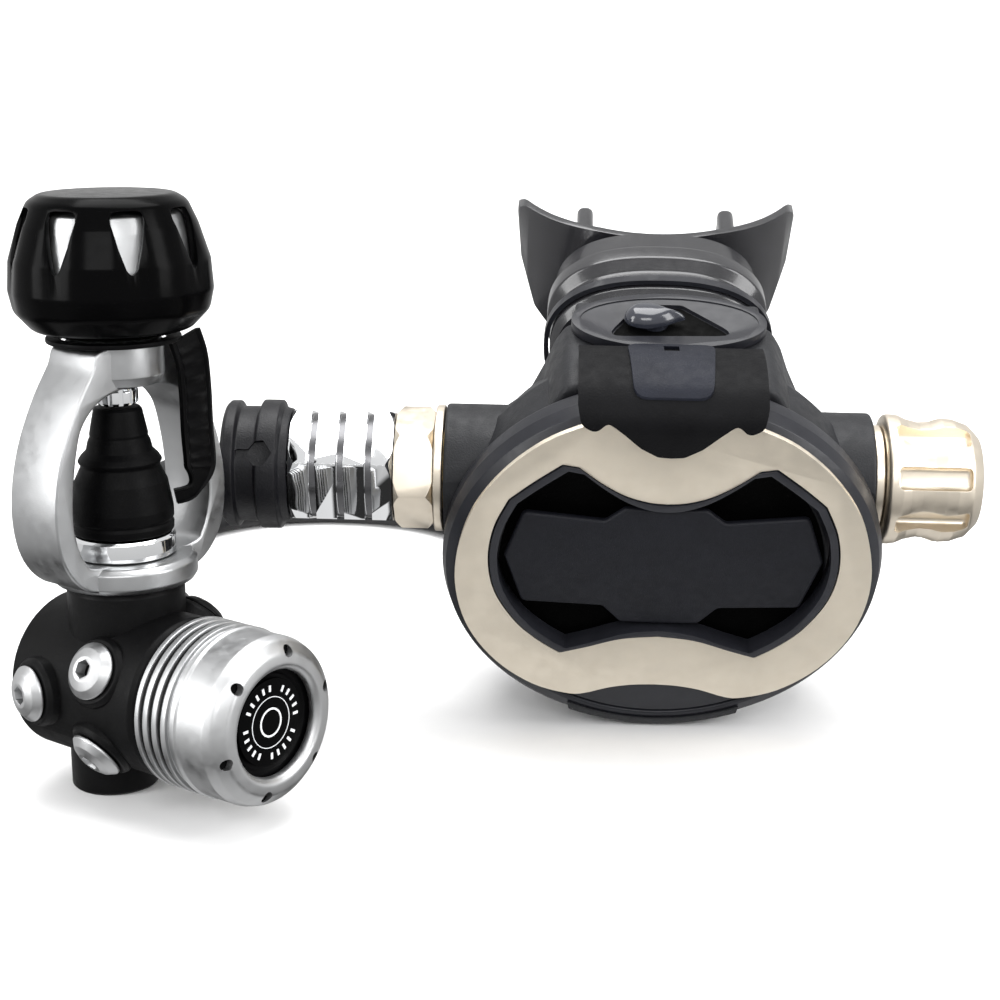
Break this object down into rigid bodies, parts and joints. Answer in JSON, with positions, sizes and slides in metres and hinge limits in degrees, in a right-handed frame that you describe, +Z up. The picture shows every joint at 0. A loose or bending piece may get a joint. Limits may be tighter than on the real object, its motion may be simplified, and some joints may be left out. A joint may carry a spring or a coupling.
{
  "type": "scuba regulator set",
  "caption": "Scuba regulator set: yoke first stage with dust cap, rubber hose and a balanced second stage with purge cover, adjuster knob, venturi lever and mouthpiece.",
  "frame": {"origin": "on the floor under the first stage, where the yoke's axis meets it", "axes": "+X along the second stage's cross tube, away from the first stage; +Y away from the viewer of the cover; +Z up along the yoke's axis"},
  "size_m": [0.2292, 0.2865, 0.1246],
  "materials": {
    "satin_nickel": "satin nickel-plated brass",
    "chrome": "polished chrome-plated brass",
    "champagne": "satin champagne-gold metal finish",
    "brass": "turned brass",
    "steel": "turned stainless steel",
    "black_metal": "satin black coating on brass",
    "technopolymer": "fine-grained black technopolymer",
    "gloss_black": "gloss black",
    "rubber": "soft black rubber",
    "silicone": "glossy black silicone",
    "sintered_filter": "sintered bronze, rough"
  },
  "bodies": {
    "set": {"yoke": "satin_nickel", "yoke_retainer": "chrome", "inlet_filter": "sintered_filter", "inlet_oring": "rubber", "dust_cap": "rubber", "dust_cap_strap": "rubber", "first_stage_body": "black_metal", "lp_plug_upper": "satin_nickel", "lp_plug_lower": "satin_nickel", "lp_plug_rear": "satin_nickel", "gauge_port_plug": "black_metal", "rear_plug": "black_metal", "diaphragm_clamp": "satin_nickel", "seal_cap": "satin_nickel", "seal_diaphragm": "rubber", "badge_disc": "gloss_black", "spring_adjuster": "brass", "main_spring": "steel", "poppet_spring": "steel", "second_stage_case": "technopolymer", "front_cover": "technopolymer", "cover_trim": "champagne", "cover_frame": "technopolymer", "purge_spring": "steel", "demand_diaphragm": "silicone", "air_barrel": "brass", "inlet_orifice": "steel", "poppet_valve_spring": "steel", "adjuster_collar": "champagne", "inlet_washer": "champagne", "inlet_nut": "champagne", "switch_plate": "technopolymer", "cover_latch": "technopolymer", "mouthpiece": "silicone", "mouthpiece_clamp": "technopolymer", "exhaust_deflector": "technopolymer", "hose_swivel_nut": "chrome", "hose_tail": "steel", "hose_protector": "rubber", "hose_end": "chrome", "lp_hose": "rubber"},
    "knob": {"knob_grip": "rubber", "knob_core": "satin_nickel", "yoke_screw": "steel"},
    "screw_pad": {"screw_swivel_pad": "chrome"},
    "valve_train": {"valve_pin": "steel", "first_stage_poppet": "brass", "main_diaphragm": "rubber", "load_transmitter": "technopolymer"},
    "purge": {"purge_button": "technopolymer"},
    "plate": {"diaphragm_plate": "steel"},
    "lever": {"demand_lever": "steel"},
    "poppet_body": {"poppet": "technopolymer"},
    "adjuster": {"adjuster_knob": "champagne", "adjuster_screw": "steel"},
    "seat": {"spring_seat": "brass"},
    "venturi": {"venturi_lever": "gloss_black"},
    "exhaust": {"exhaust_valve": "silicone"}
  },
  "joints": [
    {"name": "knob_turn", "type": "hinge", "parent": "screw_pad", "child": "knob", "pos_m": [0, 0, 0.1], "axis": [0, 0, 1], "range_deg": [0, 1440]},
    {"name": "screw_travel", "type": "slide", "parent": "set", "child": "screw_pad", "axis": [0, 0, 1], "range_m": [0, 0.007]},
    {"name": "valve_lift", "type": "slide", "parent": "set", "child": "valve_train", "axis": [-0.7986, 0.6018, 0], "range_m": [0, 0.0006], "stiffness_N_per_m": 4000, "deforming": ["poppet_spring", "main_spring", "seal_diaphragm"]},
    {"name": "purge_press", "type": "slide", "parent": "set", "child": "purge", "axis": [0.039, 0.9055, 0.4226], "range_m": [0, 0.0026], "stiffness_N_per_m": 400, "deforming": ["purge_spring", "demand_diaphragm"]},
    {"name": "plate_push", "type": "slide", "parent": "set", "child": "plate", "axis": [0.039, 0.9055, 0.4226], "range_m": [0, 0.0026]},
    {"name": "lever_swing", "type": "hinge", "parent": "set", "child": "lever", "pos_m": [0.11238, 0.02648, 0.05659], "axis": [0.0011, -0.4229, 0.9062], "range_deg": [-8, 0]},
    {"name": "poppet_lift", "type": "slide", "parent": "set", "child": "poppet_body", "axis": [0.9992, -0.0349, -0.0175], "range_m": [0, 0.00053], "deforming": ["poppet_valve_spring"]},
    {"name": "adjuster_turn", "type": "hinge", "parent": "set", "child": "adjuster", "pos_m": [0.16866, 0.03205, 0.05912], "axis": [0.9992, -0.0349, -0.0175], "range_deg": [-900, 0]},
    {"name": "seat_travel", "type": "slide", "parent": "set", "child": "seat", "axis": [0.9992, -0.0349, -0.0175], "range_m": [-0.0025, 0], "deforming": ["poppet_valve_spring"]},
    {"name": "venturi_turn", "type": "hinge", "parent": "set", "child": "venturi", "pos_m": [0.11006, 0.02902, 0.09089], "axis": [0.0011, -0.4229, 0.9062], "range_deg": [-75, 0]},
    {"name": "exhaust_lift", "type": "slide", "parent": "set", "child": "exhaust", "axis": [-0.0011, 0.4229, -0.9062], "range_m": [0, 0.0015], "stiffness_N_per_m": 250}
  ],
  "couplings": [
    {"joint": "screw_travel", "follows": "knob_turn", "m_per_rad": 0.00027852},
    {"joint": "plate_push", "follows": "purge_press", "ratio": 1},
    {"joint": "lever_swing", "follows": "purge_press", "rad_per_m": -52.6},
    {"joint": "poppet_lift", "follows": "purge_press", "ratio": 0.2},
    {"joint": "seat_travel", "follows": "adjuster_turn", "m_per_rad": 0.00015915}
  ]
}
